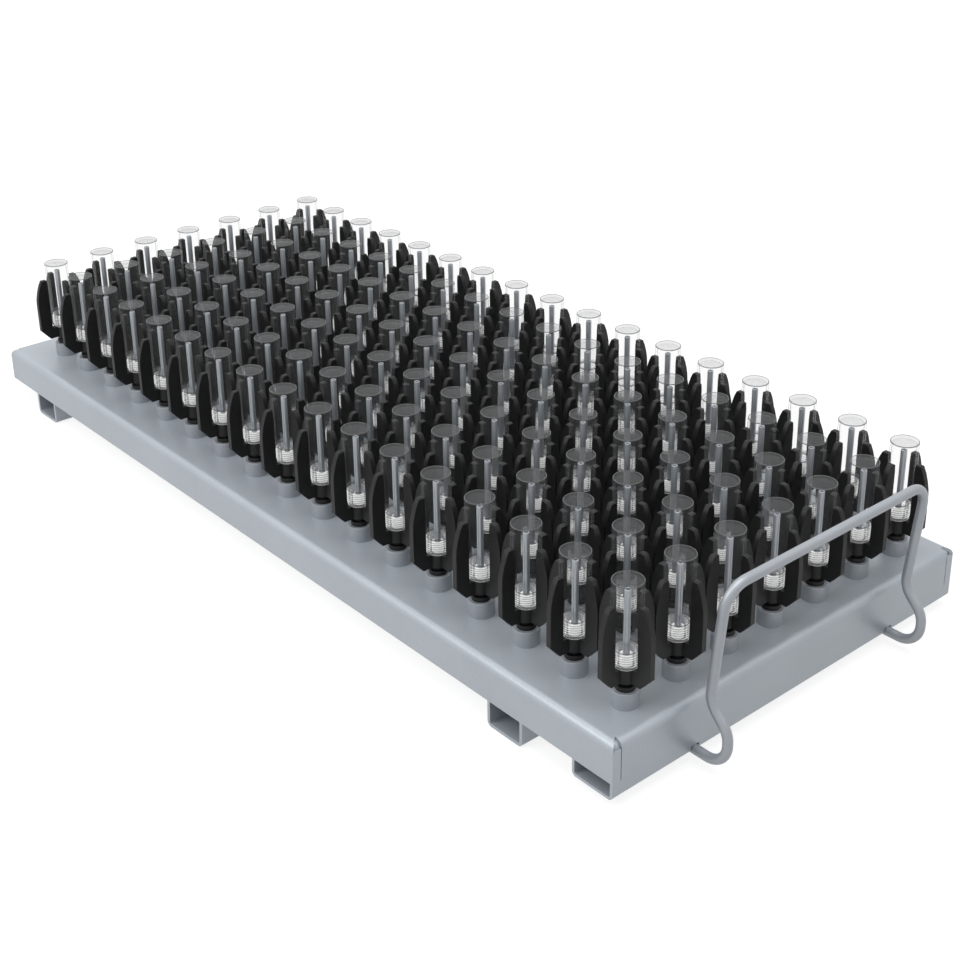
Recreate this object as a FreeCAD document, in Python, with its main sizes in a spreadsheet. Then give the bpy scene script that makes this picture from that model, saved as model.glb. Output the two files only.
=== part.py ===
"""Injection rack for small glass vials, with every vial in place.

A folded steel deck is closed underneath by a base plate, so that it is a flat water chamber. Round bosses
stand on the deck in a square grid. A nozzle tube rises from the chamber through each boss, a four-finned
plastic holder sits on the boss around it, and a vial stands mouth down in the holder over the nozzle
and over a short white sleeve around the nozzle's foot.
Two cross channels under the base plate are the feet, and a bent rod at one end is the handle.

Lengths are millimetres. +X runs along the deck towards the handle, +Z is up, and the origin is on the
floor under the middle of the whole rack.
"""
import FreeCAD, Part
import math
import os
import Sketcher

Vector = FreeCAD.Vector

SIZES = {
    # the grid of positions
    "columns": 17,
    "rows": 7,
    "pitch": 33.0,
    # the folded deck, measured from the outermost vial centres to its outer faces
    "left_margin": 30.0,
    "right_margin": 19.0,
    "side_margin": 26.0,
    "sheet": 1.5,
    "bend_radius": 4.0,
    "left_bend_radius": 2.5,
    "flange_height": 20.7,
    # the relief at each corner, between the side's bend and the end's
    "corner_tab": 5.0,
    "seam_gap": 0.4,
    "relief_depth": 4.5,
    # the deep end wall and its return under the deck
    "wall_floor_gap": 5.0,
    "return_width": 25.5,
    "return_radius": 2.5,
    # the two cross channels, the feet of the rack
    "channel_height": 13.8,
    "channel_width": 24.5,
    "channel_sheet": 1.8,
    "channel_radius": 3.0,
    "left_channel_inset": 33.8,
    "right_channel_inset": 59.0,
    # the water inlet in the base plate
    "inlet_radius": 18.0,
    "inlet_wall": 1.5,
    "inlet_collar": 6.0,
    "inlet_length": 10.0,
    # the handle rod, measured out from the end wall and up from the floor
    "rod_radius": 2.5,
    "handle_spread": 144.0,
    "handle_reach": 19.0,
    "handle_root_height": 6.3,
    "handle_root_length": 20.0,
    "handle_elbow_height": 24.7,
    "handle_waist_reach": 7.4,
    "handle_waist_height": 36.6,
    "handle_top_reach": 13.6,
    "handle_top_height": 97.0,
    "rod_bend_radius": 12.0,
    "slot_clearance": 0.1,
    # boss and nozzle
    "boss_radius": 6.7,
    "boss_height": 8.5,
    "nozzle_radius": 1.65,
    "nozzle_bore": 0.9,
    "nozzle_height": 50.7,
    "nozzle_clearance": 0.05,
    "sleeve_radius": 2.9,
    "sleeve_height": 5.5,
    # the finned holder, with heights above the boss
    "fin_thickness": 3.0,
    "fin_reach": 16.2,
    "fin_tip_reach": 10.3,
    "fin_tip_height": 4.6,
    "fin_corner_height": 11.5,
    "fin_shoulder_height": 29.5,
    "fin_top_height": 45.5,
    "fin_top_reach": 11.9,
    "fin_arc_radius": 50.0,
    "fin_lead": 0.4,
    "fin_lead_height": 4.0,
    "seat_height": 12.0,
    "hub_radius": 5.15,
    "stem_radius": 3.1,
    "foot_radius": 4.85,
    "foot_height": 2.4,
    "vial_clearance": 0.7,
    # the vial, standing on its mouth
    "vial_radius": 7.5,
    "vial_length": 43.5,
    "vial_wall": 1.0,
    "vial_base": 1.2,
    "neck_radius": 5.8,
    "mouth_radius": 4.2,
    "neck_height": 8.5,
    "shoulder_height": 2.5,
}

MARGINS = "(Sizes.left_margin + Sizes.right_margin)"
LENGTH = f"({MARGINS} + (Sizes.columns - 1) * Sizes.pitch)"
WIDTH = "(2 * Sizes.side_margin + (Sizes.rows - 1) * Sizes.pitch)"
REACH = "(Sizes.handle_reach + Sizes.rod_radius)"
DECK_X = f"(-{REACH} / 2)"
END_X = f"(({LENGTH} - {REACH}) / 2)"
FIRST_X = f"({DECK_X} - {LENGTH} / 2 + Sizes.left_margin)"
BASE_Z = "Sizes.channel_height"
DECK_Z = f"({BASE_Z} + Sizes.flange_height)"
BOSS_Z = f"({DECK_Z} + Sizes.boss_height)"
SEAT_Z = f"({BOSS_Z} + Sizes.seat_height)"
NOZZLE_BORE = "(Sizes.nozzle_radius + Sizes.nozzle_clearance)"

doc = FreeCAD.newDocument("VialRack")
pieces = []


def make_sheet():
    """Writes the driving sizes into a spreadsheet, one alias for each."""
    sheet = doc.addObject("Spreadsheet::Sheet", "Sizes")
    for row, (name, size) in enumerate(SIZES.items(), start=1):
        sheet.set(f"A{row}", name)
        sheet.set(f"B{row}", str(size))
        sheet.setAlias(f"B{row}", name)
    doc.recompute()
    return sheet


sizes = make_sheet()


def value(expression):
    """The number that an expression of the sheet's cells comes to."""
    return float(sizes.evalExpression(expression))


def place(piece, x="0", y="0", z="0"):
    """Ties a piece's place to expressions."""
    for axis, expression in zip("xyz", (x, y, z)):
        piece.setExpression(f"Placement.Base.{axis}", expression)


def new_body(name, x="0", y="0", z="0"):
    """An empty body, which is one piece or one row of like pieces."""
    body = doc.addObject("PartDesign::Body", name)
    body.Label = name
    place(body, x, y, z)
    pieces.append(body)
    return body


def origin_feature(body, role):
    """One of the planes or axes of the body's own origin."""
    return next(feature for feature in body.Origin.OriginFeatures if feature.Role == role)


def new_sketch(body, name, plane, height="0"):
    """A sketch on one of the body's origin planes, raised along its normal by height."""
    sketch = body.newObject("Sketcher::SketchObject", name)
    sketch.AttachmentSupport = (origin_feature(body, plane), [""])
    sketch.MapMode = "FlatFace"
    sketch.setExpression("AttachmentOffset.Base.z", height)
    return sketch


def tie(sketch, geometry, point, x, y):
    """Holds a point of a sketch at two expressions."""
    for kind, expression in (("DistanceX", x), ("DistanceY", y)):
        index = sketch.addConstraint(Sketcher.Constraint(kind, -1, 1, geometry, point, value(expression)))
        sketch.setExpression(f"Constraints[{index}]", expression)


def add_circle(sketch, radius, x="0", y="0"):
    """A full circle with its radius and centre tied."""
    centre = Vector(value(x), value(y), 0)
    index = sketch.addGeometry(Part.Circle(centre, Vector(0, 0, 1), value(radius)))
    tie(sketch, index, 3, x, y)
    limit = sketch.addConstraint(Sketcher.Constraint("Radius", index, value(radius)))
    sketch.setExpression(f"Constraints[{limit}]", radius)


def add_outline(sketch, corners):
    """A closed outline through corners, each tied to two expressions.

    A corner with a third expression starts an arc of that radius, which bulges to the right of the way
    the outline runs, and so outwards where it runs anticlockwise. The other corners start straight lines.
    """
    points = [Vector(value(corner[0]), value(corner[1]), 0) for corner in corners]
    edges = []
    for n, corner in enumerate(corners):
        start, stop = points[n], points[(n + 1) % len(points)]
        if len(corner) == 2:
            edges.append(Part.LineSegment(start, stop))
            continue
        chord = stop - start
        radius = value(corner[2])
        rise = radius - math.sqrt(radius**2 - (chord.Length / 2) ** 2)
        outwards = Vector(chord.y, -chord.x, 0).normalize()
        edges.append(Part.Arc(start, (start + stop) / 2 + outwards * rise, stop))
    names = sketch.addGeometry(edges)
    ends = [(name, 1, 2) for name in names]
    for n, corner in enumerate(corners):
        if len(corner) == 3 and sketch.Geometry[names[n]].StartPoint.distanceToPoint(points[n]) > 1e-6:
            ends[n] = (names[n], 2, 1)
    for n, corner in enumerate(corners):
        name, first, last = ends[n]
        following, joined, _ = ends[(n + 1) % len(ends)]
        sketch.addConstraint(Sketcher.Constraint("Coincident", name, last, following, joined))
        tie(sketch, name, first, corner[0], corner[1])
        if len(corner) == 3:
            index = sketch.addConstraint(Sketcher.Constraint("Radius", name, value(corner[2])))
            sketch.setExpression(f"Constraints[{index}]", corner[2])


def pad(body, name, sketch, length, both_ways=False):
    """Gives a sketch its depth, along its normal or half each way."""
    feature = body.newObject("PartDesign::Pad", name)
    feature.Profile = sketch
    feature.SideType = "Symmetric" if both_ways else "One side"
    feature.setExpression("Length", length)
    return feature


def pocket(body, name, sketch, depth):
    """Cuts a sketch down against its normal."""
    feature = body.newObject("PartDesign::Pocket", name)
    feature.Profile = sketch
    feature.setExpression("Length", depth)
    return feature


def revolve(body, name, sketch):
    """Turns a sketch once round the upright axis through its origin."""
    feature = body.newObject("PartDesign::Revolution", name)
    feature.Profile = sketch
    feature.ReferenceAxis = (sketch, ["V_Axis"])
    feature.Angle = 360
    return feature


def round_folds(body, name, axis, folds):
    """Rounds the edges that run along an axis. Each fold is a place across that axis and a radius."""
    doc.recompute()
    base = body.Tip
    across = [k for k in "xyz" if k != axis]
    for number, (first, second, radius) in enumerate(folds):
        target = (value(first), value(second))
        found = []
        for index, edge in enumerate(base.Shape.Edges, start=1):
            spots = [tuple(getattr(v.Point, k) for k in across) for v in edge.Vertexes]
            if len(spots) == 2 and all(math.dist(spot, target) < 1e-4 for spot in spots):
                found.append(f"Edge{index}")
        feature = body.newObject("PartDesign::Fillet", f"{name}_{number}")
        feature.Base = (base, found)
        feature.setExpression("Radius", radius)
        doc.recompute()
        base = feature
    return base


def repeat_row(body):
    """Repeats a whole piece along the deck, one for each column."""
    doc.recompute()
    feature = body.newObject("PartDesign::LinearPattern", "row")
    feature.TransformMode = "Whole shape"
    feature.Direction = (origin_feature(body, "X_Axis"), [""])
    feature.Mode = "Spacing"
    feature.setExpression("Offset", "Sizes.pitch")
    feature.setExpression("Occurrences", "Sizes.columns")
    body.Tip = feature
    return feature


def strip(points, thickness):
    """The two sides of a folded sheet: its outer corners, then the inner ones on the way back.

    Each corner is its outer place and which way its inner place lies, in sheet thicknesses.
    """
    outer = [(x, z) for x, z, _, _ in points]
    inner = [(f"{x} + ({dx}) * {thickness}", f"{z} + ({dz}) * {thickness}") for x, z, dx, dz in points]
    return outer + inner[::-1]


def make_deck():
    """The folded deck, with its two end walls, its side flanges and the return under the deep wall."""
    body = new_body("deck", DECK_X)
    sheet = "Sizes.sheet"
    half_length, half_width = f"({LENGTH} / 2)", f"({WIDTH} / 2)"
    side_strip = "(Sizes.corner_tab + Sizes.seam_gap)"

    ends = new_sketch(body, "end_folds", "XZ_Plane")
    add_outline(ends, strip([
        (f"-{half_length}", BASE_Z, 1, 0), (f"-{half_length}", DECK_Z, 1, -1),
        (half_length, DECK_Z, -1, -1), (half_length, BASE_Z, -1, 0),
    ], sheet))
    pad(body, "end_walls", ends, f"({WIDTH} - 2 * {side_strip})", both_ways=True)
    inner_x, inner_z = f"({half_length} - {sheet})", f"({DECK_Z} - {sheet})"
    left_bend, right_bend = "Sizes.left_bend_radius", "Sizes.bend_radius"
    round_folds(body, "end_bend", "y", [
        (f"-{half_length}", DECK_Z, left_bend), (half_length, DECK_Z, right_bend),
        (f"-{inner_x}", inner_z, f"({left_bend} - {sheet})"), (inner_x, inner_z, f"({right_bend} - {sheet})"),
    ])
    for name, side in (("near", -1), ("far", 1)):
        add_side(body, name, side, half_width, side_strip)
    add_corner_tabs(body, half_length, half_width)
    cut_corner_reliefs(body, half_length, half_width, side_strip)
    add_return(body, half_length)
    cut_handle_slots(body, half_length)
    cut_water_holes(body)


def add_side(body, name, side, half_width, side_strip):
    """One long flange with its bend, and the strip of deck beside it that runs on past the end bends."""
    sheet = "Sizes.sheet"
    sketch = new_sketch(body, f"side_folds_{name}", "YZ_Plane")
    add_outline(sketch, strip([
        (f"{side} * {half_width}", BASE_Z, -side, 0), (f"{side} * {half_width}", DECK_Z, -side, -1),
        (f"{side} * ({half_width} - {side_strip})", DECK_Z, 0, -1),
    ], sheet))
    pad(body, f"side_flange_{name}", sketch, LENGTH, both_ways=True)
    round_folds(body, f"side_bend_{name}", "x", [
        (f"{side} * {half_width}", DECK_Z, "Sizes.bend_radius"),
        (f"{side} * ({half_width} - {sheet})", f"({DECK_Z} - {sheet})", f"(Sizes.bend_radius - {sheet})"),
    ])


def corners(half_length, half_width, spots):
    """The same few spots at each corner of the deck. A spot is how far in from the end and from the side."""
    for number, (sx, sy) in enumerate(((1, 1), (-1, 1), (-1, -1), (1, -1))):
        yield number, [
            (f"{sx} * ({half_length} - {dx})", f"{sy} * ({half_width} - {dy})") for dx, dy in spots
        ]


def add_corner_tabs(body, half_length, half_width):
    """Short tabs that carry each side flange round its corner, below the bends."""
    tab, sheet = "Sizes.corner_tab", "Sizes.sheet"
    spots = [(0, 0), (sheet, 0), (sheet, tab), (0, tab)]
    for number, outline in corners(half_length, half_width, spots):
        sketch = new_sketch(body, f"tab_outline_{number}", "XY_Plane", BASE_Z)
        add_outline(sketch, outline)
        pad(body, f"tab_{number}", sketch, "(Sizes.flange_height - Sizes.bend_radius)")


def cut_corner_reliefs(body, half_length, half_width, side_strip):
    """Trims each end of the sides' bends on a slant, from the corner to a point on the deck."""
    spots = [(0, 0), ("Sizes.relief_depth", side_strip), (0, side_strip)]
    for number, outline in corners(half_length, half_width, spots):
        sketch = new_sketch(body, f"relief_outline_{number}", "XY_Plane", DECK_Z)
        add_outline(sketch, outline)
        pocket(body, f"relief_{number}", sketch, "Sizes.bend_radius")


def add_return(body, half_length):
    """The end wall's lower part, which turns in under the deck and up again to the base plate."""
    foot, sheet = "Sizes.wall_floor_gap", "Sizes.sheet"
    lip_x = f"({half_length} - Sizes.return_width)"
    sketch = new_sketch(body, "return_folds", "XZ_Plane")
    add_outline(sketch, strip([
        (half_length, BASE_Z, -1, 0), (half_length, foot, -1, 1),
        (lip_x, foot, 1, 1), (lip_x, BASE_Z, 1, 0),
    ], sheet))
    pad(body, "end_return", sketch, WIDTH, both_ways=True)
    inner_radius = f"(Sizes.return_radius - {sheet})"
    round_folds(body, "return_bend", "y", [
        (lip_x, foot, "Sizes.return_radius"), (half_length, foot, "Sizes.return_radius"),
        (f"({lip_x} + {sheet})", f"({foot} + {sheet})", inner_radius),
        (f"({half_length} - {sheet})", f"({foot} + {sheet})", inner_radius),
    ])


def cut_handle_slots(body, half_length):
    """Square slots at the foot of the end wall, which run on into the return for the handle's ends."""
    side = "(Sizes.rod_radius + Sizes.slot_clearance)"
    depth = "(Sizes.handle_root_length + Sizes.slot_clearance)"
    top = f"(Sizes.handle_root_height + {side})"
    for name, sign in (("near", -1), ("far", 1)):
        sketch = new_sketch(body, f"slot_outline_{name}", "XY_Plane", top)
        low, high = (f"{sign} * Sizes.handle_spread / 2 {way} {side}" for way in "-+")
        add_outline(sketch, [
            (f"({half_length} - {depth})", low), (f"({half_length} + {side})", low),
            (f"({half_length} + {side})", high), (f"({half_length} - {depth})", high),
        ])
        pocket(body, f"slot_{name}", sketch, top)


def cut_water_holes(body):
    """One hole under each boss, for the nozzle's end."""
    sketch = new_sketch(body, "water_hole", "XY_Plane", DECK_Z)
    first_x = f"(Sizes.left_margin - {LENGTH} / 2)"
    first_y = f"(Sizes.side_margin - {WIDTH} / 2)"
    add_circle(sketch, NOZZLE_BORE, first_x, first_y)
    hole = pocket(body, "water_hole_cut", sketch, "Sizes.sheet")
    grid = body.newObject("PartDesign::LinearPattern", "water_holes")
    grid.Originals = [hole]
    for suffix, axis, count in (("", "X_Axis", "Sizes.columns"), ("2", "Y_Axis", "Sizes.rows")):
        setattr(grid, f"Direction{suffix}", (origin_feature(body, axis), [""]))
        setattr(grid, f"Mode{suffix}", "Spacing")
        grid.setExpression(f"Offset{suffix}", "Sizes.pitch")
        grid.setExpression(f"Occurrences{suffix}", count)
    body.Tip = grid


def make_base_plate():
    """The plate that closes the water chamber, between the flanges, with the hole for the inlet."""
    plate = doc.addObject("Part::Box", "base_blank")
    plate.setExpression("Length", f"{LENGTH} - 2 * Sizes.sheet")
    plate.setExpression("Width", f"{WIDTH} - 2 * Sizes.sheet")
    plate.setExpression("Height", "Sizes.sheet")
    place(plate, f"{DECK_X} - {LENGTH} / 2 + Sizes.sheet", f"Sizes.sheet - {WIDTH} / 2", BASE_Z)
    hole = doc.addObject("Part::Cylinder", "base_hole")
    hole.setExpression("Radius", "Sizes.inlet_radius + Sizes.inlet_wall")
    hole.setExpression("Height", "2 * Sizes.sheet")
    place(hole, DECK_X, "0", f"{BASE_Z} - Sizes.sheet / 2")
    cut = doc.addObject("Part::Cut", "base_plate")
    cut.Base, cut.Tool = plate, hole
    cut.Label = "base_plate"
    pieces.append(cut)


def make_inlet():
    """The turned inlet: a short tube under the base plate with a collar that is welded against it."""
    body = new_body("inlet_socket", DECK_X)
    bore, outer = "Sizes.inlet_radius", "(Sizes.inlet_radius + Sizes.inlet_wall)"
    rim = f"({outer} + Sizes.inlet_collar)"
    top, seat = f"({BASE_Z} + Sizes.sheet)", BASE_Z
    under = f"({BASE_Z} - Sizes.sheet)"
    foot = f"({top} - Sizes.inlet_length)"
    sketch = new_sketch(body, "inlet_profile", "XZ_Plane")
    add_outline(sketch, [
        (bore, foot), (outer, foot), (outer, under), (rim, under), (rim, seat), (outer, seat),
        (outer, top), (bore, top),
    ])
    revolve(body, "inlet_turned", sketch)


def make_channel(name, centre):
    """A cross channel: a folded trough, open at both ends, whose edges meet the base plate."""
    body = new_body(name, centre)
    half, sheet = "(Sizes.channel_width / 2)", "Sizes.channel_sheet"
    radius = "Sizes.channel_radius"
    sketch = new_sketch(body, "channel_folds", "XZ_Plane")
    add_outline(sketch, strip([
        (half, BASE_Z, -1, 0), (half, "0", -1, 1), (f"-{half}", "0", 1, 1), (f"-{half}", BASE_Z, 1, 0),
    ], sheet))
    pad(body, "trough", sketch, WIDTH, both_ways=True)
    inner = f"({half} - {sheet})"
    inner_radius = f"({radius} - {sheet})"
    round_folds(body, "trough_bend", "y", [
        (f"-{half}", "0", radius), (half, "0", radius),
        (f"-{inner}", sheet, inner_radius), (inner, sheet, inner_radius),
    ])


def fillet_path(points, radii):
    """A wire of straight runs and tangent arcs. radii holds one radius for each inner point."""
    edges, start = [], points[0]
    for before, corner, after, radius in zip(points, points[1:], points[2:], radii):
        first, second = (before - corner).normalize(), (after - corner).normalize()
        half_turn = (math.pi - first.getAngle(second)) / 2
        setback = radius * math.tan(half_turn)
        into, out = corner + first * setback, corner + second * setback
        inwards = (first + second).normalize()
        middle = corner + inwards * (radius / math.cos(half_turn) - radius)
        edges.append(Part.LineSegment(start, into).toShape())
        edges.append(Part.Arc(into, middle, out).toShape())
        start = out
    edges.append(Part.LineSegment(start, points[-1]).toShape())
    return Part.Wire(edges)


def make_handle():
    """The handle: one round rod, bent up out of both slots, in at the waist and over at the top.

    Its own origin is at the foot of the end wall, so each point is how far out and how high it lies.
    """
    names = ("rod_radius", "rod_bend_radius", "handle_reach", "handle_root_height")
    radius, turn, reach, root = (value(f"Sizes.{name}") for name in names)
    leg = [
        (-value("Sizes.handle_root_length"), root),
        (reach, root),
        (reach, value("Sizes.handle_elbow_height")),
        (value("Sizes.handle_waist_reach"), value("Sizes.handle_waist_height")),
        (value("Sizes.handle_top_reach"), value("Sizes.handle_top_height")),
    ]
    half = value("Sizes.handle_spread") / 2
    near = [Vector(out, -half, up) for out, up in leg]
    far = [Vector(out, half, up) for out, up in reversed(leg)]
    path = fillet_path(near + far, [turn] * (2 * len(leg) - 2))
    section = Part.Wire(Part.Circle(near[0], Vector(1, 0, 0), radius).toShape())
    handle = doc.addObject("Part::Feature", "handle")
    handle.Shape = path.makePipe(Part.Face(section))
    place(handle, END_X)
    handle.Label = "handle"
    pieces.append(handle)


def make_tube_row(name, row_y, outer, bore, foot, length):
    """A row of plain tubes: the bosses, the nozzles that stand in them, or the nozzles' sleeves."""
    body = new_body(name, FIRST_X, row_y)
    sketch = new_sketch(body, "tube_section", "XY_Plane", foot)
    add_circle(sketch, outer)
    add_circle(sketch, bore)
    pad(body, "tube", sketch, length)
    repeat_row(body)


def holder_outline():
    """One plate of a holder: two opposite fins, with the slot for the vial between them."""
    wall = "(Sizes.vial_radius + Sizes.vial_clearance)"
    right = [
        ("Sizes.fin_tip_reach", "Sizes.fin_tip_height"),
        ("Sizes.fin_reach", "Sizes.fin_corner_height"),
        ("Sizes.fin_reach", "Sizes.fin_shoulder_height", "Sizes.fin_arc_radius"),
        ("Sizes.fin_top_reach", "Sizes.fin_top_height"),
        (f"({wall} + Sizes.fin_lead)", "Sizes.fin_top_height"),
        (wall, "(Sizes.fin_top_height - Sizes.fin_lead_height)"), (wall, "Sizes.seat_height"),
    ]
    left = [(f"-{corner[0]}", corner[1]) for corner in reversed(right)]
    rise = next(n for n, corner in enumerate(left) if corner[1] == "Sizes.fin_shoulder_height") - 1
    left[rise] = (*left[rise], "Sizes.fin_arc_radius")
    return right + left


def make_holder_row(name, row_y):
    """A row of holders: four fins in a cross round a hub, which the vial's mouth stands on.

    The hub narrows to a stem below the fins and ends in a round foot, which sits on the boss.
    """
    body = new_body(name, FIRST_X, row_y, BOSS_Z)
    sketch = new_sketch(body, "fin_outline", "XZ_Plane")
    add_outline(sketch, holder_outline())
    fins = pad(body, "fins", sketch, "Sizes.fin_thickness", both_ways=True)
    cross = body.newObject("PartDesign::PolarPattern", "cross")
    cross.Originals = [fins]
    cross.Axis = (origin_feature(body, "Z_Axis"), [""])
    cross.Angle = 90
    cross.Occurrences = 2
    body.Tip = cross
    hub, stem, foot = "Sizes.hub_radius", "Sizes.stem_radius", "Sizes.foot_radius"
    foot_top, hub_foot, seat = "Sizes.foot_height", "Sizes.fin_tip_height", "Sizes.seat_height"
    profile = new_sketch(body, "hub_profile", "XZ_Plane")
    add_outline(profile, [
        ("0", "0"), (foot, "0"), (foot, foot_top), (stem, foot_top), (stem, hub_foot), (hub, hub_foot),
        (hub, seat), ("0", seat),
    ])
    revolve(body, "hub", profile)
    bore = new_sketch(body, "nozzle_hole", "XY_Plane", seat)
    add_circle(bore, NOZZLE_BORE)
    pocket(body, "nozzle_hole_cut", bore, seat)
    repeat_row(body)


def make_vial_row(name, row_y):
    """A row of vials: thin glass turned about an upright axis, mouth down and base up."""
    body = new_body(name, FIRST_X, row_y, SEAT_Z)
    outer, inner = "Sizes.vial_radius", "(Sizes.vial_radius - Sizes.vial_wall)"
    neck, mouth = "Sizes.neck_radius", "Sizes.mouth_radius"
    top, floor = "Sizes.vial_length", "(Sizes.vial_length - Sizes.vial_base)"
    low, high = "Sizes.neck_height", "(Sizes.neck_height + Sizes.shoulder_height)"
    sketch = new_sketch(body, "vial_profile", "XZ_Plane")
    add_outline(sketch, [
        (mouth, "0"), (neck, "0"), (neck, low), (outer, high), (outer, top), ("0", top),
        ("0", floor), (inner, floor), (inner, high), (mouth, low),
    ])
    revolve(body, "vial", sketch)
    repeat_row(body)


def make_positions():
    """Every row of the grid: bosses, nozzles, sleeves, holders and vials, front row first."""
    for row in range(SIZES["rows"]):
        row_y = f"(({row} - (Sizes.rows - 1) / 2) * Sizes.pitch)"
        mark = row + 1
        make_tube_row(
            f"bosses_row_{mark}", row_y, "Sizes.boss_radius", NOZZLE_BORE, DECK_Z, "Sizes.boss_height",
        )
        make_tube_row(
            f"nozzles_row_{mark}", row_y, "Sizes.nozzle_radius", "Sizes.nozzle_bore",
            f"({DECK_Z} - Sizes.sheet)", "(Sizes.sheet + Sizes.boss_height + Sizes.nozzle_height)",
        )
        make_tube_row(
            f"sleeves_row_{mark}", row_y, "Sizes.sleeve_radius", NOZZLE_BORE, SEAT_Z, "Sizes.sleeve_height",
        )
        make_holder_row(f"holders_row_{mark}", row_y)
        make_vial_row(f"vials_row_{mark}", row_y)


def write_parts():
    """Checks every object and every piece, and then writes each piece to its own file."""
    doc.recompute()
    for item in doc.Objects:
        if {"Invalid", "Error"} & set(item.State):
            raise RuntimeError(f"{item.Label} has failed: {item.State}")
    for piece in pieces:
        if piece.Shape.isNull() or not piece.Shape.isValid() or not piece.Shape.Solids:
            raise RuntimeError(f"{piece.Label} has no valid solid")
    os.makedirs("parts", exist_ok=True)
    for piece in pieces:
        piece.Shape.exportStep(f"parts/{piece.Label}.step")
        print(piece.Label, len(piece.Shape.Solids), "solids")


def main():
    """Builds the rack from the floor up."""
    left_centre = f"({DECK_X} - {LENGTH} / 2 + Sizes.left_channel_inset + Sizes.channel_width / 2)"
    right_centre = f"({DECK_X} + {LENGTH} / 2 - Sizes.right_channel_inset - Sizes.channel_width / 2)"
    make_channel("cross_channel_left", left_centre)
    make_channel("cross_channel_right", right_centre)
    make_base_plate()
    make_inlet()
    make_deck()
    make_handle()
    make_positions()
    write_parts()


main()
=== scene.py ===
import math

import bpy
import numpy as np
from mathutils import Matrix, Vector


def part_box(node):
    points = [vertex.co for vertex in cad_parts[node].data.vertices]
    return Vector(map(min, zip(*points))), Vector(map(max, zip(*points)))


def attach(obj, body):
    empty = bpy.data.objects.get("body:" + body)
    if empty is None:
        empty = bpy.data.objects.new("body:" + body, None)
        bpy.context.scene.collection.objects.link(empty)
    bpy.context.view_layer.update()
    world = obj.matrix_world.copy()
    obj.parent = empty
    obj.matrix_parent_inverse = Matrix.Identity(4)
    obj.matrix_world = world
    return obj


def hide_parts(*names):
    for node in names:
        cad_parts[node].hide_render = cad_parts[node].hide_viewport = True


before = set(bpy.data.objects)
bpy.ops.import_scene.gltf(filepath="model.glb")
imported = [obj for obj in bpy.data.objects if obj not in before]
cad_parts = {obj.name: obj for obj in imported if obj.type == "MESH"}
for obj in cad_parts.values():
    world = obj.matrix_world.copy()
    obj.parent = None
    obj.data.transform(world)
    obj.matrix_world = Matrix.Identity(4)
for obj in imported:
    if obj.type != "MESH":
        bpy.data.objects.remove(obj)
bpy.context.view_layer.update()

# %% [markdown]
# A rack for rinsing small glass vials, dressed for its portrait.
# The frame that was just loaded holds the engineer's model: sheet metal, rod, and rows of bosses, nozzles,
# sleeves, holders and vials, all at their true size and place. Blender never moves any of it. This lesson
# gives the steel and the sleeves their finish, and replaces the bosses, nozzles, holders and vials by finer
# surfaces worked out with numpy, because threads, rounded rims and softened moulded edges are what the eye
# looks for up close.

MM = 0.001
ROWS = 7
COLUMNS = 17


def corners(node):
    """The lowest and highest corner of a CAD node, as two arrays."""
    low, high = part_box(node)
    return np.array(low), np.array(high)


def row_places(row):
    """The middle of each vial of a row, on the rack's plan, as an array of x and y."""
    low, high = corners(f"vials_row_{row}")
    radius = (high[1] - low[1]) / 2
    x = np.linspace(low[0] + radius, high[0] - radius, COLUMNS)
    return np.column_stack([x, np.full(COLUMNS, (low[1] + high[1]) / 2)])


DECK_LOW, DECK_HIGH = corners("deck")
BOSS_LOW, BOSS_HIGH = corners("bosses_row_1")
NOZZLE_LOW, NOZZLE_HIGH = corners("nozzles_row_1")
VIAL_LOW, VIAL_HIGH = corners("vials_row_1")
VIAL_RADIUS = (VIAL_HIGH[1] - VIAL_LOW[1]) / 2
BOSS_RADIUS = (BOSS_HIGH[1] - BOSS_LOW[1]) / 2
NOZZLE_RADIUS = (NOZZLE_HIGH[1] - NOZZLE_LOW[1]) / 2
PITCH = row_places(1)[1, 0] - row_places(1)[0, 0]
print("pitch of the grid, millimetres:", round(PITCH / MM, 2))

# %% [markdown]
# The camera comes first, because every later choice is judged through it. Its place was solved from the grid
# of vials, whose pitch is known, so it is written in real metres and degrees. The picture is a crop of a
# wider view, so the lens is shifted a little instead of the camera being turned.

# %% The camera at the photograph's angle
CAMERA_PLACE = Vector((0.67395, -0.5273, 0.4634))
CAMERA_HEADING = math.radians(137.99)
CAMERA_TILT = math.radians(-23.58)
CAMERA_LENS = 60.26
CAMERA_SHIFT = (-0.0567, -0.130)

camera_data = bpy.data.cameras.new("camera")
camera_data.lens = CAMERA_LENS
camera_data.shift_x, camera_data.shift_y = CAMERA_SHIFT
camera_data.clip_start, camera_data.clip_end = 0.01, 100
camera = bpy.data.objects.new("camera", camera_data)
bpy.context.scene.collection.objects.link(camera)
bpy.context.scene.camera = camera
sight = Vector((
    math.cos(CAMERA_HEADING) * math.cos(CAMERA_TILT),
    math.sin(CAMERA_HEADING) * math.cos(CAMERA_TILT),
    math.sin(CAMERA_TILT),
))
camera.location = CAMERA_PLACE
camera.rotation_mode = "QUATERNION"
camera.rotation_quaternion = sight.to_track_quat("-Z", "Y")
print("camera looks along", [round(v, 3) for v in sight])

# %% [markdown]
# Materials are node trees, and node trees are easier to read as arithmetic. A small class wraps one socket,
# so that noise * 0.2 + 0.5 adds the two Math nodes that it describes, and one method adds any other node:
# its type, its settings, and then the values or links of its sockets.

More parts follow.
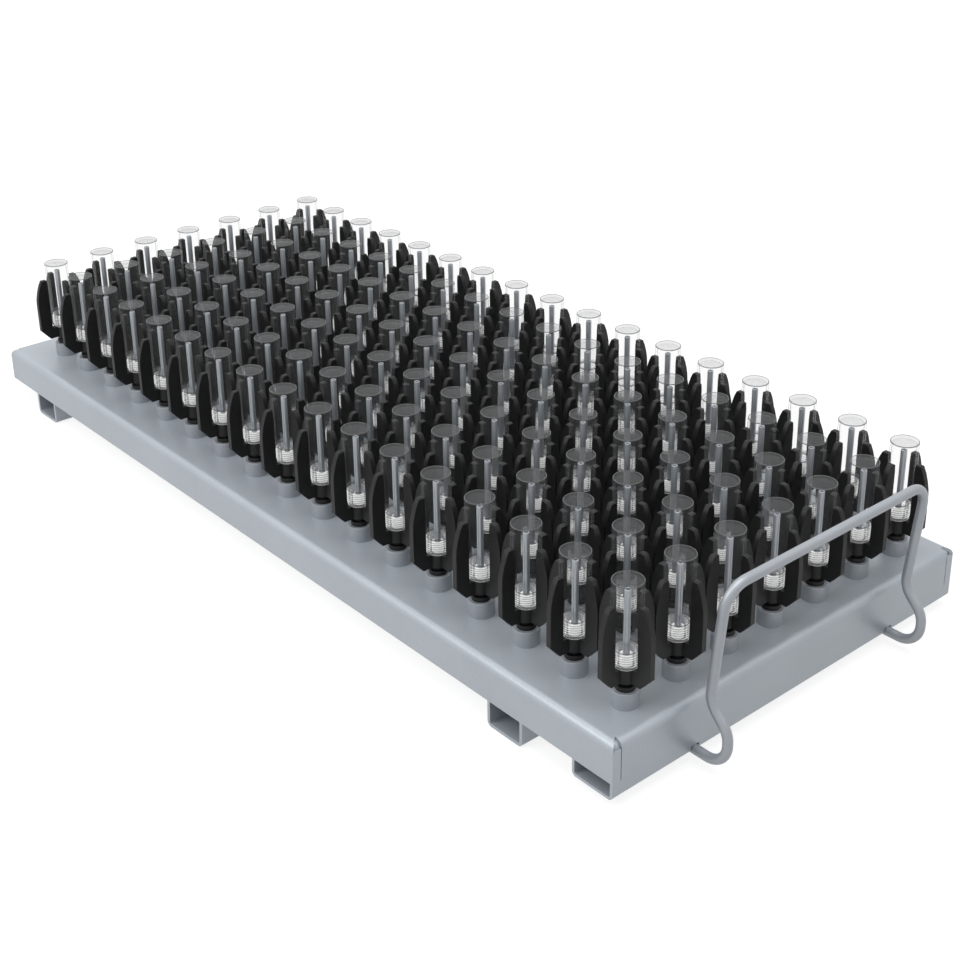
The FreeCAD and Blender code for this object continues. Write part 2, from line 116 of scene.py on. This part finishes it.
# %% A socket that can be used in sums
class Wire:
    """An output socket. Sums on it add Math nodes, which suit numbers and never colours."""

    def __init__(self, tree, socket):
        self.tree = tree
        self.socket = socket

    def sum(self, operation, first, second):
        return self.tree.node("ShaderNodeMath", {"operation": operation}, {0: first, 1: second})

    def __add__(self, other):
        return self.sum("ADD", self, other)

    def __radd__(self, other):
        return self.sum("ADD", other, self)

    def __sub__(self, other):
        return self.sum("SUBTRACT", self, other)

    def __rsub__(self, other):
        return self.sum("SUBTRACT", other, self)

    def __mul__(self, other):
        return self.sum("MULTIPLY", self, other)

    def __rmul__(self, other):
        return self.sum("MULTIPLY", other, self)

    def __pow__(self, other):
        return self.sum("POWER", self, other)


class Tree:
    """A material's or the world's nodes, emptied and ready for building."""

    def __init__(self, owner):
        owner.use_nodes = True
        self.nodes, self.links = owner.node_tree.nodes, owner.node_tree.links
        self.nodes.clear()

    def node(self, kind, settings=None, sockets=None, output=0):
        """Adds a node, makes its settings, and then sets or links its sockets. Returns one output."""
        made = self.nodes.new(kind)
        for name, value in (settings or {}).items():
            setattr(made, name, value)
        for name, value in (sockets or {}).items():
            if isinstance(value, Wire):
                self.links.new(value.socket, made.inputs[name])
            else:
                made.inputs[name].default_value = value
        return Wire(self, made.outputs[output]) if made.outputs else made

    def place(self):
        """The point of the surface, in metres."""
        return self.node("ShaderNodeTexCoord", output="Object")

    def stretched(self, stretch):
        """The point of the surface with each axis drawn out, for grain that runs one way."""
        return self.node("ShaderNodeMapping", None, {"Vector": self.place(), "Scale": stretch})

    def noise(self, vector, scale, detail=2.0, roughness=0.5):
        """Soft random blotches from 0 to 1, scale of them to a metre."""
        sockets = {"Vector": vector, "Scale": scale, "Detail": detail, "Roughness": roughness}
        return self.node("ShaderNodeTexNoise", None, sockets)

    def mix(self, factor, first, second):
        """From the first colour to the second as the factor goes from 0 to 1."""
        return self.node("ShaderNodeMix", {"data_type": "RGBA"}, {0: factor, 6: first, 7: second}, 2)

    def bump(self, height, depth, strength=1.0):
        """A normal that leans as if the surface rose by height times depth, in metres."""
        return self.node("ShaderNodeBump", None, {"Height": height, "Distance": depth, "Strength": strength})

    def in_sight(self):
        """1 where the camera sees the white room, straight, mirrored or through glass, else 0."""
        unseen = 1
        for kind in ("Is Camera Ray", "Is Glossy Ray", "Is Transmission Ray"):
            unseen = (1 - self.node("ShaderNodeLightPath", output=kind)) * unseen
        return 1 - unseen

    def finish(self, surface):
        self.node("ShaderNodeOutputMaterial", None, {"Surface": surface})


def colour(red, green, blue):
    """A colour as the eye reads it, 0 to 255, turned to the linear values that light adds up in."""
    share = np.array([red, green, blue]) / 255
    linear = np.where(share <= 0.04045, share / 12.92, ((share + 0.055) / 1.055) ** 2.4)
    return (*linear.tolist(), 1.0)


print("steel grey in linear light:", [round(v, 3) for v in colour(168, 174, 182)[:3]])

# %% [markdown]
# The room is a white studio: a pale floor, a soft even world, and three big soft lamps, of which the one
# overhead is the strongest. The light that reaches the rack is moderate, so that a colour shows about as it
# is written. What the camera sees straight, in a mirror or through glass is another matter: there the world
# is plain white, and the floor adds a glow of its own, so that it meets the white background without an
# edge and still holds the rack's soft shadow.

# %% The white room and its lamps
WORLD_LEVEL = 0.45
WHITE = (1, 1, 1, 1)
BLACK = (0, 0, 0, 1)
FLOOR_HALF = 6.0
FLOOR_PAINT = (0.3, 0.3, 0.3, 1)
FLOOR_GLOW = 0.82
LAMP_AIM = Vector((0, 0, 0.03))
LAMPS = {
    "key_lamp": {"place": (-0.5, -1.6, 1.5), "width": 1.2, "watts": 17},
    "fill_lamp": {"place": (1.2, 0.6, 1.6), "width": 1.4, "watts": 3},
    "top_lamp": {"place": (0.1, -0.1, 2.2), "width": 1.8, "watts": 29},
}
GLASS_LAYERS = 48

world = bpy.data.worlds.new("studio")
bpy.context.scene.world = world
sky = Tree(world)
level = WORLD_LEVEL + sky.in_sight() * (1 - WORLD_LEVEL)
lit = sky.node("ShaderNodeBackground", None, {"Color": WHITE, "Strength": level})
sky.node("ShaderNodeOutputWorld", None, {"Surface": lit})


def soft_lamp(name, place, width, watts):
    """A square lamp that looks at the middle of the rack."""
    data = bpy.data.lights.new(name, "AREA")
    data.shape, data.size, data.energy = "SQUARE", width, watts
    lamp = bpy.data.objects.new(name, data)
    bpy.context.scene.collection.objects.link(lamp)
    lamp.location = place
    lamp.rotation_mode = "QUATERNION"
    lamp.rotation_quaternion = (LAMP_AIM - Vector(place)).to_track_quat("-Z", "Y")


for name, lamp in LAMPS.items():
    soft_lamp(name, **lamp)


def flat_floor():
    """A square of floor, level at the rack's lowest point."""
    mesh = bpy.data.meshes.new("floor")
    reach = FLOOR_HALF
    rim = [(-reach, -reach, 0), (reach, -reach, 0), (reach, reach, 0), (-reach, reach, 0)]
    mesh.from_pydata(rim, [], [(0, 1, 2, 3)])
    floor = bpy.data.objects.new("floor", mesh)
    bpy.context.scene.collection.objects.link(floor)
    paint = bpy.data.materials.new("pale floor")
    paint.cycles.emission_sampling = "NONE"
    tree = Tree(paint)
    matt = tree.node("ShaderNodeBsdfDiffuse", None, {"Color": FLOOR_PAINT})
    glow = tree.node("ShaderNodeEmission", None, {"Color": WHITE, "Strength": tree.in_sight() * FLOOR_GLOW})
    tree.finish(tree.node("ShaderNodeAddShader", None, {0: matt, 1: glow}))
    mesh.materials.append(paint)


flat_floor()
bpy.context.scene.view_settings.view_transform = "Standard"
bpy.context.scene.cycles.transparent_max_bounces = GLASS_LAYERS
print("lamps:", ", ".join(LAMPS), "- floor half width, metres:", FLOOR_HALF)

# %% [markdown]
# Every repeated piece here is a surface on a grid: one parameter runs along a profile, the other runs round.
# A lathe-turned shape carries its profile round an axis, and a moulded fin carries its cross-section up a
# height. The helpers turn a profile, either one that meets the axis or a closed loop round a bore, join
# shapes, stack copies at a row's places, put arrays into a Blender mesh, and round an outline's corners.

# %% Helpers for surfaces on a grid
def grid_faces(rings, around):
    """Quads between each ring of points and the next, closed round the ring."""
    ring, spoke = np.meshgrid(np.arange(rings - 1), np.arange(around), indexing="ij")
    following = (spoke + 1) % around
    quads = np.stack([
        ring * around + spoke, ring * around + following,
        (ring + 1) * around + following, (ring + 1) * around + spoke,
    ], axis=-1)
    return quads.reshape(-1, 4)


def turned(profile, around, swell=None):
    """A solid of revolution whose profile starts and ends on the axis.

    A point of ring i at angle a is (r cos a, r sin a, z), where r and z are the profile's, and swell(r, z, a)
    may change r, as a screw thread does. The profile runs from the top down the outside, so faces look out.
    """
    profile = np.asarray(profile, float)
    angle = np.arange(around) * 2 * np.pi / around
    radius = np.repeat(profile[1:-1, :1], around, axis=1)
    height = np.repeat(profile[1:-1, 1:], around, axis=1)
    if swell is not None:
        radius = radius + swell(radius, height, angle[None, :])
    body = np.stack([radius * np.cos(angle), radius * np.sin(angle), height], axis=-1).reshape(-1, 3)
    poles = [(0, 0, profile[0, 1]), (0, 0, profile[-1, 1])]
    points = np.vstack([body, poles])
    rings = len(profile) - 2
    faces = grid_faces(rings, around)[:, ::-1].tolist()
    step = np.arange(around)
    following = (step + 1) % around
    last = (rings - 1) * around
    faces += np.column_stack([step, following, np.full(around, len(body))]).tolist()
    faces += np.column_stack([last + following, last + step, np.full(around, len(body) + 1)]).tolist()
    return points, faces


def turned_ring(profile, around):
    """A turned ring or tube: its profile is a closed loop that never meets the axis."""
    profile = np.asarray(profile, float)
    closed = np.vstack([profile, profile[:1]])
    angle = np.arange(around) * 2 * np.pi / around
    radius, height = closed[:, :1], np.repeat(closed[:, 1:], around, axis=1)
    points = np.stack([radius * np.cos(angle), radius * np.sin(angle), height], axis=-1)
    faces = grid_faces(len(closed), around)[:, ::-1] % (len(profile) * around)
    return points[:-1].reshape(-1, 3), faces.tolist()


def joined(parts):
    """Several (points, faces) as one."""
    points, faces, start = [], [], 0
    for part_points, part_faces in parts:
        points.append(part_points)
        faces += [[start + corner for corner in face] for face in part_faces]
        start += len(part_points)
    return np.vstack(points), faces


def stacked(shape, places):
    """One copy of a shape at each place of the plan."""
    points, faces = shape
    offsets = np.column_stack([places, np.zeros(len(places))])
    every = (points[None, :, :] + offsets[:, None, :]).reshape(-1, 3)
    starts = np.arange(len(places)) * len(points)
    return every, [[corner + start for corner in face] for start in starts.tolist() for face in faces]


def piece(name, shape, material, node, sharp_angle=35):
    """Puts a shape into a mesh, paints it, and, if a CAD node is named, lets it stand for that node."""
    points, faces = shape
    mesh = bpy.data.meshes.new(name)
    mesh.from_pydata(points.tolist(), [], faces)
    mesh.shade_smooth()
    mesh.set_sharp_from_angle(angle=math.radians(sharp_angle))
    mesh.materials.append(material)
    made = bpy.data.objects.new(name, mesh)
    bpy.context.scene.collection.objects.link(made)
    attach(made, "root")
    if node:
        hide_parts(node)
    return made


def rounded(corners_and_radii, steps=4):
    """An open outline with its corners rounded.

    At a corner with radius r the outline leaves its leg r * tan(turn / 2) early, and follows an arc.
    """
    spots = [np.array(c[:2], float) for c in corners_and_radii]
    out = [spots[0]]
    for before, spot, after, entry in zip(spots, spots[1:], spots[2:], corners_and_radii[1:-1]):
        radius = entry[2] if len(entry) > 2 else 0
        if not radius:
            out.append(spot)
            continue
        back = (before - spot) / np.linalg.norm(before - spot)
        on = (after - spot) / np.linalg.norm(after - spot)
        half = math.acos(np.clip(back @ on, -1, 1)) / 2
        centre = spot + (back + on) / np.linalg.norm(back + on) * radius / math.sin(half)
        start, stop = spot + back * radius / math.tan(half), spot + on * radius / math.tan(half)
        first, last = (math.atan2(*(p - centre)[::-1]) for p in (start, stop))
        turn = (last - first + math.pi) % (2 * math.pi) - math.pi
        for angle in first + turn * np.linspace(0, 1, steps + 1):
            out.append(centre + radius * np.array([math.cos(angle), math.sin(angle)]))
    out.append(spots[-1])
    return np.array(out)


print("faces of a five by eight grid:", len(grid_faces(5, 8)))

# %% [markdown]
# The vial is clear tube drawn to a neck, with a screw thread on it, and it stands mouth down. Its wall is a
# millimetre of glass, so both the outside and the inside are modelled. The thread is a helix, so the neck's
# radius is a function of height and angle together.
#
# The picture draws glass plainly: nothing bends behind it, its base is a thin grey veil, and its rims and
# its thread show as lines. So this glass is a surface that lets light straight through, with a veil whose
# strength the material works out. The lines are painted shade, a value that each point of the mesh carries,
# worked out from its distance to the rims. The neck's edges carry a painted highlight.

# %% The glass vials, turned from one profile with a threaded neck
VIAL_WALL = 1.0 * MM
VIAL_FLOOR = 1.2 * MM
LIP_RADIUS = 5.8 * MM
MOUTH_RADIUS = 4.2 * MM
NECK_HEIGHT = 8.5 * MM
SHOULDER_HEIGHT = 2.5 * MM
THREAD_ROOT = 5.75 * MM
THREAD_CREST = 6.45 * MM
THREAD_PITCH = 1.17 * MM
THREAD_LOW = 1.6 * MM
THREAD_HIGH = 7.6 * MM
THREAD_RINGS = 36
GLASS_AROUND = 36
LIP_HEIGHT = 1.4 * MM
BASE_BAND = 0.6 * MM
BASE_ROUND = 0.2 * MM
SHOULDER_ROUND = 1.2 * MM
NECK_ROUND = 0.5 * MM
LIP_ROUND = 0.4 * MM
BORE_ROUND = 0.8 * MM
INNER_SHOULDER_ROUND = 1.0 * MM
INNER_BASE_ROUND = 0.5 * MM


def vial_shape():
    """The vial's outside from its base down to the mouth, and then its inside back up to the base."""
    foot, top = VIAL_LOW[2], VIAL_HIGH[2]
    shoulder = foot + NECK_HEIGHT + SHOULDER_HEIGHT
    outside = rounded([
        (0, top), (VIAL_RADIUS - BASE_BAND, top), (VIAL_RADIUS, top, BASE_ROUND),
        (VIAL_RADIUS, top - BASE_BAND), (VIAL_RADIUS, shoulder, SHOULDER_ROUND),
        (THREAD_ROOT, foot + NECK_HEIGHT, NECK_ROUND), (THREAD_ROOT, foot + THREAD_HIGH),
    ], steps=3)
    levels = foot + np.linspace(THREAD_HIGH, THREAD_LOW, THREAD_RINGS)
    neck = np.column_stack([np.full(THREAD_RINGS, THREAD_ROOT), levels])
    inner = VIAL_RADIUS - VIAL_WALL
    inside = rounded([
        (THREAD_ROOT, foot + THREAD_LOW), (LIP_RADIUS, foot + LIP_HEIGHT),
        (LIP_RADIUS, foot, LIP_ROUND), (MOUTH_RADIUS, foot, LIP_ROUND),
        (MOUTH_RADIUS, foot + NECK_HEIGHT, BORE_ROUND), (inner, shoulder, INNER_SHOULDER_ROUND),
        (inner, top - VIAL_FLOOR, INNER_BASE_ROUND), (0, top - VIAL_FLOOR),
    ], steps=3)
    return np.vstack([outside, neck[1:], inside[1:]])


def thread(radius, height, angle):
    """A helical ridge. Its phase is height over pitch less angle over a turn, and it fades at both ends."""
    foot = VIAL_LOW[2]
    phase = (height - foot) / THREAD_PITCH - angle / (2 * np.pi)
    ridge = np.clip(0.5 + 0.75 * np.cos(2 * np.pi * phase), 0, 1)
    low, high = foot + THREAD_LOW, foot + THREAD_HIGH
    fade = np.clip(np.minimum(height - low, high - height) / (0.5 * THREAD_PITCH), 0, 1)
    on_neck = np.isclose(radius, THREAD_ROOT) & (height < high) & (height > low)
    return np.where(on_neck, (THREAD_CREST - THREAD_ROOT) * ridge * fade, 0)


one_vial = turned(vial_shape(), GLASS_AROUND, thread)
print("faces of one vial:", len(one_vial[1]))

# %% The painted shade lines of the glass
LINE_WIDTH = 0.4 * MM
LINE_CORE = 1.4


def painted_shade_line_weight(points):
    """How strongly each point shows as a painted shade line, from 0 to 1.

    Near four circles, which are the rim of the base, both rims of the mouth and the top of the neck, it is
    LINE_CORE less the distance over the line's width, held between 0 and 1. In the thread it is 1 in the
    valleys, and falls as the radius grows towards the crest.
    """
    foot, top = VIAL_LOW[2], VIAL_HIGH[2]
    radius, height = np.hypot(points[:, 0], points[:, 1]), points[:, 2]
    circles = [
        (VIAL_RADIUS, top), (LIP_RADIUS, foot), (MOUTH_RADIUS, foot), (THREAD_ROOT, foot + NECK_HEIGHT),
    ]
    gaps = [np.hypot(radius - r, height - z) for r, z in circles]
    weight = np.clip(LINE_CORE - np.min(gaps, axis=0) / LINE_WIDTH, 0, 1)
    threaded = (height > foot + THREAD_LOW) & (height < foot + THREAD_HIGH) & (radius > THREAD_ROOT - 1e-6)
    return np.where(threaded, (THREAD_CREST - radius) / (THREAD_CREST - THREAD_ROOT), weight)


shade_line_weights = painted_shade_line_weight(one_vial[0])
print("points of one vial on its lines:", int((shade_line_weights > 0.5).sum()), "of", len(shade_line_weights))

# %% The glass itself
VEIL = 0.045
EDGE_VEIL = 0.9
EDGE_POWER = 6
NECK_EASE = 2
# The base's veil, the line and rim veils and the darker grey are painted shade. The neck's white and its glow
# are a painted highlight.
BASE_SHADE_VEIL = 0.225
LINE_SHADE_VEIL = 0.5
RIM_SHADE_VEIL = 0.35
NECK_PAINTED_GLOW = 0.65
GLASS_GREY = colour(140, 142, 143)
PAINTED_SHADE_GREY = colour(92, 93, 94)
NECK_PAINTED_HIGHLIGHT = colour(245, 245, 245)


def clear_glass_painted_light():
    """Clear tube glass: hardly there face on, and a grey line wherever its wall is seen edge on.

    The veil is a constant, plus a high power of the share by which the surface faces away, plus painted
    shade on the level base, plus the painted shade lines of the rims and of the thread's valleys. Edges are
    grey. In the neck they carry a painted highlight, white with a glow of its own, for the light that the
    thread's ribs catch. That glow lights nothing else, so no lamp rays are aimed at it.
    """
    material = bpy.data.materials.new("clear glass with painted light")
    material.cycles.emission_sampling = "NONE"
    tree = Tree(material)
    away = tree.node("ShaderNodeLayerWeight", None, {"Blend": 0.5}, "Facing")
    normal = tree.node("ShaderNodeNewGeometry", output="Normal")
    upward = tree.node("ShaderNodeSeparateXYZ", None, {0: normal}, "Z")
    line = tree.node("ShaderNodeAttribute", {"attribute_name": "line"}, output="Fac")
    height = tree.node("ShaderNodeSeparateXYZ", None, {0: tree.place()}, "Z")
    neck = tree.node("ShaderNodeMath", {"operation": "LESS_THAN"}, {0: height, 1: VIAL_LOW[2] + NECK_HEIGHT})
    base_low = VIAL_HIGH[2] - VIAL_FLOOR / 2
    base = tree.node("ShaderNodeMath", {"operation": "GREATER_THAN"}, {0: height, 1: base_low})
    # Painted shade: what faces up, the level base, gets a thicker veil and a darker grey.
    level = (upward * upward) ** 4 * base
    # Painted shade: dark grey lines at the base's rim.
    rim = line * (1 - neck)
    face_grey_and_base_shade = tree.mix(level, GLASS_GREY, PAINTED_SHADE_GREY)
    # Painted highlight: where the neck is seen edge on, it turns white and glows.
    edge_grey_and_neck_highlight = tree.mix(neck, GLASS_GREY, NECK_PAINTED_HIGHLIGHT)
    edge = away ** (EDGE_POWER - neck * NECK_EASE) * EDGE_VEIL
    tree.finish(tree.node("ShaderNodeBsdfPrincipled", None, {
        "Base Color": tree.mix(rim, tree.mix(away ** 3, face_grey_and_base_shade, edge_grey_and_neck_highlight), PAINTED_SHADE_GREY),
        "Emission Color": tree.mix(neck * away, BLACK, WHITE), "Emission Strength": NECK_PAINTED_GLOW,
        "Roughness": 0.08, "IOR": 1.47, "Specular IOR Level": 0.3,
        "Alpha": edge + level * BASE_SHADE_VEIL + line * LINE_SHADE_VEIL + rim * RIM_SHADE_VEIL + VEIL,
    }))
    return material


glass = clear_glass_painted_light()
row_shade_line_weights = np.tile(shade_line_weights, COLUMNS).astype(np.float32)
for row in range(1, ROWS + 1):
    shape = stacked(one_vial, row_places(row))
    vials = piece(f"glass_vials_{row}", shape, glass, f"vials_row_{row}", sharp_angle=50)
    # The 'line' attribute carries the painted shade lines.
    vials.data.attributes.new("line", "FLOAT", "POINT").data.foreach_set("value", row_shade_line_weights)
    vials.visible_shadow = False
print("rows of vials:", ROWS, "- faces in each:", len(shape[1]))

# %% [markdown]
# A holder is one black moulding: four fins in a cross round a post. The post is bored for the nozzle, and
# has a hub on whose top the vial's mouth rests, a thin stem, and a round foot that stands on the boss. The
# fins' edges are nearly crisp, so a fin's cross-section is a rectangle with a small cut at each corner, and
# that section is carried up the fin while its inner and outer reach follow the outline.

# %% The moulded holders
FIN_THICKNESS = 3.0 * MM
FIN_EDGE = 0.15 * MM
SEAT_HEIGHT = 12.0 * MM
HOLE_RADIUS = NOZZLE_RADIUS + 0.05 * MM
HUB_RADIUS = 5.15 * MM
STEM_RADIUS = 3.1 * MM
FOOT_RADIUS = 4.85 * MM
HUB_LOW = 4.6 * MM
FOOT_HEIGHT = 2.4 * MM
POST_AROUND = 28
FIN_OUTSIDE = [
    (4.6, 10.3), (11.5, 16.2), (29.5, 16.2), (33.5, 15.9), (38.0, 14.9), (42.0, 13.6), (45.5, 11.9),
]
FIN_INSIDE = [(4.6, 2.4), (12.0, 2.4), (12.01, 8.2), (41.5, 8.2), (45.5, 8.6)]


def fin_shape():
    """One fin along +X. At each height its section is a rectangle with cut corners.

    The section runs from the inner reach to the outer one, both read from the outline by interpolation, and
    the first and last sections are drawn in by the size of the cut, which rounds the top and bottom too.
    """
    outside, inside = np.array(FIN_OUTSIDE) * MM, np.array(FIN_INSIDE) * MM
    levels = np.unique(np.concatenate([outside[:, 0], inside[:, 0]]))
    levels = np.insert(levels, [1, len(levels) - 1], [levels[0] + FIN_EDGE, levels[-1] - FIN_EDGE])
    drawn_in = np.zeros(len(levels))
    drawn_in[[0, -1]] = FIN_EDGE
    near = np.interp(levels, inside[:, 0], inside[:, 1]) + drawn_in * (levels > SEAT_HEIGHT)
    far = np.interp(levels, outside[:, 0], outside[:, 1]) - drawn_in
    half = FIN_THICKNESS / 2 - drawn_in
    cut = FIN_EDGE
    near_cut = near + cut * (levels > SEAT_HEIGHT)
    loop = [
        (near_cut, -half), (far - cut, -half), (far, -half + cut), (far, half - cut),
        (far - cut, half), (near_cut, half), (near, half - cut), (near, -half + cut),
    ]
    z = BOSS_HIGH[2] + levels
    points = np.stack([np.stack([x, y, z], axis=-1) for x, y in loop], axis=1).reshape(-1, 3)
    around = len(loop)
    faces = grid_faces(len(levels), around).tolist()
    faces.append(list(range(around))[::-1])
    faces.append([(len(levels) - 1) * around + n for n in range(around)])
    return points, faces


def quarter_turns(shape):
    """The shape four times, each a quarter turn on: (x, y) becomes (-y, x)."""
    points, faces = shape
    copies = [points]
    for _ in range(3):
        x, y, z = copies[-1].T
        copies.append(np.column_stack([-y, x, z]))
    return joined([(copy, faces) for copy in copies])


def post_shape():
    """The turned middle: a foot on the boss, a thin stem, and the hub whose top is the vial's seat."""
    z = BOSS_HIGH[2]
    seat, hub_low, foot_high = z + SEAT_HEIGHT, z + HUB_LOW, z + FOOT_HEIGHT
    profile = rounded([
        (HOLE_RADIUS, z), (HOLE_RADIUS, seat), (HUB_RADIUS, seat, 0.2 * MM), (HUB_RADIUS, hub_low, 0.15 * MM),
        (STEM_RADIUS, hub_low), (STEM_RADIUS, foot_high), (FOOT_RADIUS, foot_high, 0.25 * MM),
        (FOOT_RADIUS, z, 0.15 * MM), (HOLE_RADIUS, z),
    ], steps=1)
    return turned_ring(profile[:-1], POST_AROUND)


def black_plastic():
    """Black moulded plastic with a fine spark-eroded grain, a little paler and duller in soft clouds."""
    material = bpy.data.materials.new("black moulded plastic")
    tree = Tree(material)
    grain = tree.noise(tree.place(), scale=2600, detail=3)
    cloud = tree.noise(tree.place(), scale=90, detail=2)
    tree.finish(tree.node("ShaderNodeBsdfPrincipled", None, {
        "Base Color": tree.mix(cloud, colour(24, 24, 24), colour(36, 36, 36)), "Specular IOR Level": 0.25,
        "Roughness": cloud * 0.15 + 0.4,
        "Normal": tree.bump(grain, depth=0.02 * MM, strength=0.5),
    }))
    return material


plastic = black_plastic()
one_holder = joined([quarter_turns(fin_shape()), post_shape()])
for row in range(1, ROWS + 1):
    shape = stacked(one_holder, row_places(row))
    piece(f"finned_holders_{row}", shape, plastic, f"holders_row_{row}", sharp_angle=40)
print("faces of one holder:", len(one_holder[1]))

# %% [markdown]
# Steel is where the picture's colour lies. The sheet was rolled, folded and left satin, so its gloss is
# broad, with a fine grain and a faint cloudiness. The other pieces come from a lathe or a draw bench. All
# their fine rings lie level, one above the other, so one finish serves them, in three tones.

# %% Steel in its finishes
RING_STRETCH = (30, 30, 3000)


def satin_sheet():
    """Rolled stainless sheet, satin: cloudy by a shade, with a fine pebble grain."""
    material = bpy.data.materials.new("satin sheet steel")
    tree = Tree(material)
    cloud = tree.noise(tree.place(), scale=22, detail=4)
    grain = tree.noise(tree.place(), scale=900, detail=3, roughness=0.6)
    shade = tree.mix(cloud * 0.5 + grain * 0.5, colour(160, 167, 174), colour(190, 197, 204))
    tree.finish(tree.node("ShaderNodeBsdfPrincipled", None, {
        "Base Color": shade, "Metallic": 0.3, "Roughness": grain * 0.14 + 0.3,
        "Normal": tree.bump(grain, depth=0.1 * MM, strength=0.6),
    }))
    return material


def turned_steel(name, grey, roughness, metallic):
    """Steel from a lathe or a draw bench: fine rings stacked up the piece, in clouds round one grey."""
    material = bpy.data.materials.new(name)
    tree = Tree(material)
    rings = tree.noise(tree.stretched(RING_STRETCH), scale=1.0, detail=2)
    cloud = tree.noise(tree.place(), scale=60, detail=2)
    dark, pale = (colour(tone, tone + 5, tone + 11) for tone in (grey - 8, grey + 6))
    tree.finish(tree.node("ShaderNodeBsdfPrincipled", None, {
        "Base Color": tree.mix(cloud, dark, pale),
        "Metallic": metallic, "Roughness": rings * 0.1 + roughness,
        "Normal": tree.bump(rings, depth=0.02 * MM, strength=0.4),
    }))
    return material


sheet_steel = satin_sheet()
boss_steel = turned_steel("turned steel", grey=160, roughness=0.42, metallic=0.25)
nozzle_steel = turned_steel("drawn tube steel", grey=170, roughness=0.3, metallic=0.6)
rod_steel = turned_steel("drawn rod steel", grey=163, roughness=0.36, metallic=0.4)
for node in ("deck", "base_plate", "cross_channel_left", "cross_channel_right"):
    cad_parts[node].data.materials[0] = sheet_steel
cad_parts["inlet_socket"].data.materials[0] = boss_steel
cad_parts["handle"].data.materials[0] = rod_steel
print("steels:", ", ".join(steel.name for steel in (sheet_steel, boss_steel, nozzle_steel, rod_steel)))

# %% [markdown]
# Low in each vial's neck the picture shows a small bright block. The engineer's model reads it as a plain
# white sleeve on the nozzle, which is a simple ring already. So it keeps that ring, and only gets a finish,
# with a painted glow that brightens its shaded sides.

# %% The white sleeves, with a painted glow
def white_sleeve_painted_glow():
    """White plastic turned to a satin, with a painted glow that brightens its shaded sides."""
    material = bpy.data.materials.new("white sleeve plastic with painted glow")
    tree = Tree(material)
    cloud = tree.noise(tree.place(), scale=120, detail=2)
    rings = tree.noise(tree.stretched(RING_STRETCH), scale=1.0, detail=2)
    tree.finish(tree.node("ShaderNodeBsdfPrincipled", None, {
        "Base Color": tree.mix(cloud, colour(244, 244, 242), colour(251, 251, 250)),
        "Roughness": cloud * 0.1 + 0.4, "Normal": tree.bump(rings, depth=0.02 * MM, strength=0.3),
        # Painted light: a glow of its own that brightens the sleeve's shaded sides.
        "Emission Color": (1.0, 1.0, 0.99, 1), "Emission Strength": 0.32,
    }))
    return material


sleeve_plastic_painted_glow = white_sleeve_painted_glow()
for row in range(1, ROWS + 1):
    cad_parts[f"sleeves_row_{row}"].data.materials[0] = sleeve_plastic_painted_glow
print("sleeves painted:", ROWS * COLUMNS)

# %% [markdown]
# Where two folded walls meet, the sheet has a relief cut, and a bead of weld fills it from behind. It shows
# as a small round knuckle in each corner of the deck.

# %% The welds in the corners
BEND_RADIUS = 4.0 * MM
WELD_RADIUS = 3.1 * MM
WELD_RINGS = 13
WELD_AROUND = 16


def weld_shape():
    """A ball: ring i lies at the angle i * 180 / n from the top, at r sin of it out and r cos of it up."""
    turn = np.linspace(0, np.pi, WELD_RINGS)
    height = DECK_HIGH[2] - BEND_RADIUS + WELD_RADIUS * np.cos(turn)
    return turned(np.column_stack([WELD_RADIUS * np.sin(turn), height]), WELD_AROUND)


across = np.array([DECK_LOW[0] + BEND_RADIUS, DECK_HIGH[0] - BEND_RADIUS])
along = np.array([DECK_LOW[1] + BEND_RADIUS, DECK_HIGH[1] - BEND_RADIUS])
weld_places = np.array(np.meshgrid(across, along)).reshape(2, -1).T
piece("corner_welds", stacked(weld_shape(), weld_places), sheet_steel, None)
print("corner welds:", len(weld_places))

# %% [markdown]
# A boss is turned from bar, with a small round on its top edge, and bored for its nozzle. A nozzle is a tube
# with its rim rounded over, inside and out, so that it can't scratch a vial. Neither profile meets the axis,
# so both are closed loops, carried round it.

# %% The bosses and the nozzles
BOSS_EDGE = 0.5 * MM
BOSS_AROUND = 40
NOZZLE_BORE = 0.9 * MM
BORE_EDGE = 0.2 * MM
RIM_EDGE = 0.3 * MM
NOZZLE_AROUND = 20


def boss_shape():
    """A turned boss with a small round on its top edge, bored for its nozzle."""
    low, high, radius, bore = BOSS_LOW[2], BOSS_HIGH[2], BOSS_RADIUS, HOLE_RADIUS
    outline = rounded([(bore, low), (bore, high), (radius, high, BOSS_EDGE), (radius, low), (bore, low)])
    return turned_ring(outline[:-1], BOSS_AROUND)


def nozzle_shape():
    """A tube with a rounded rim. Its profile is a closed loop: up the bore and down the outside."""
    low, high = NOZZLE_LOW[2], NOZZLE_HIGH[2]
    outline = rounded([
        (NOZZLE_BORE, low), (NOZZLE_BORE, high, BORE_EDGE),
        (NOZZLE_RADIUS, high, RIM_EDGE), (NOZZLE_RADIUS, low),
    ], steps=2)
    return turned_ring(outline, NOZZLE_AROUND)


one_boss, one_nozzle = boss_shape(), nozzle_shape()
for row in range(1, ROWS + 1):
    places = row_places(row)
    bosses, nozzles = stacked(one_boss, places), stacked(one_nozzle, places)
    piece(f"turned_bosses_{row}", bosses, boss_steel, f"bosses_row_{row}")
    piece(f"nozzle_tubes_{row}", nozzles, nozzle_steel, f"nozzles_row_{row}", sharp_angle=60)
print("faces of a boss and a nozzle:", len(one_boss[1]), len(one_nozzle[1]))
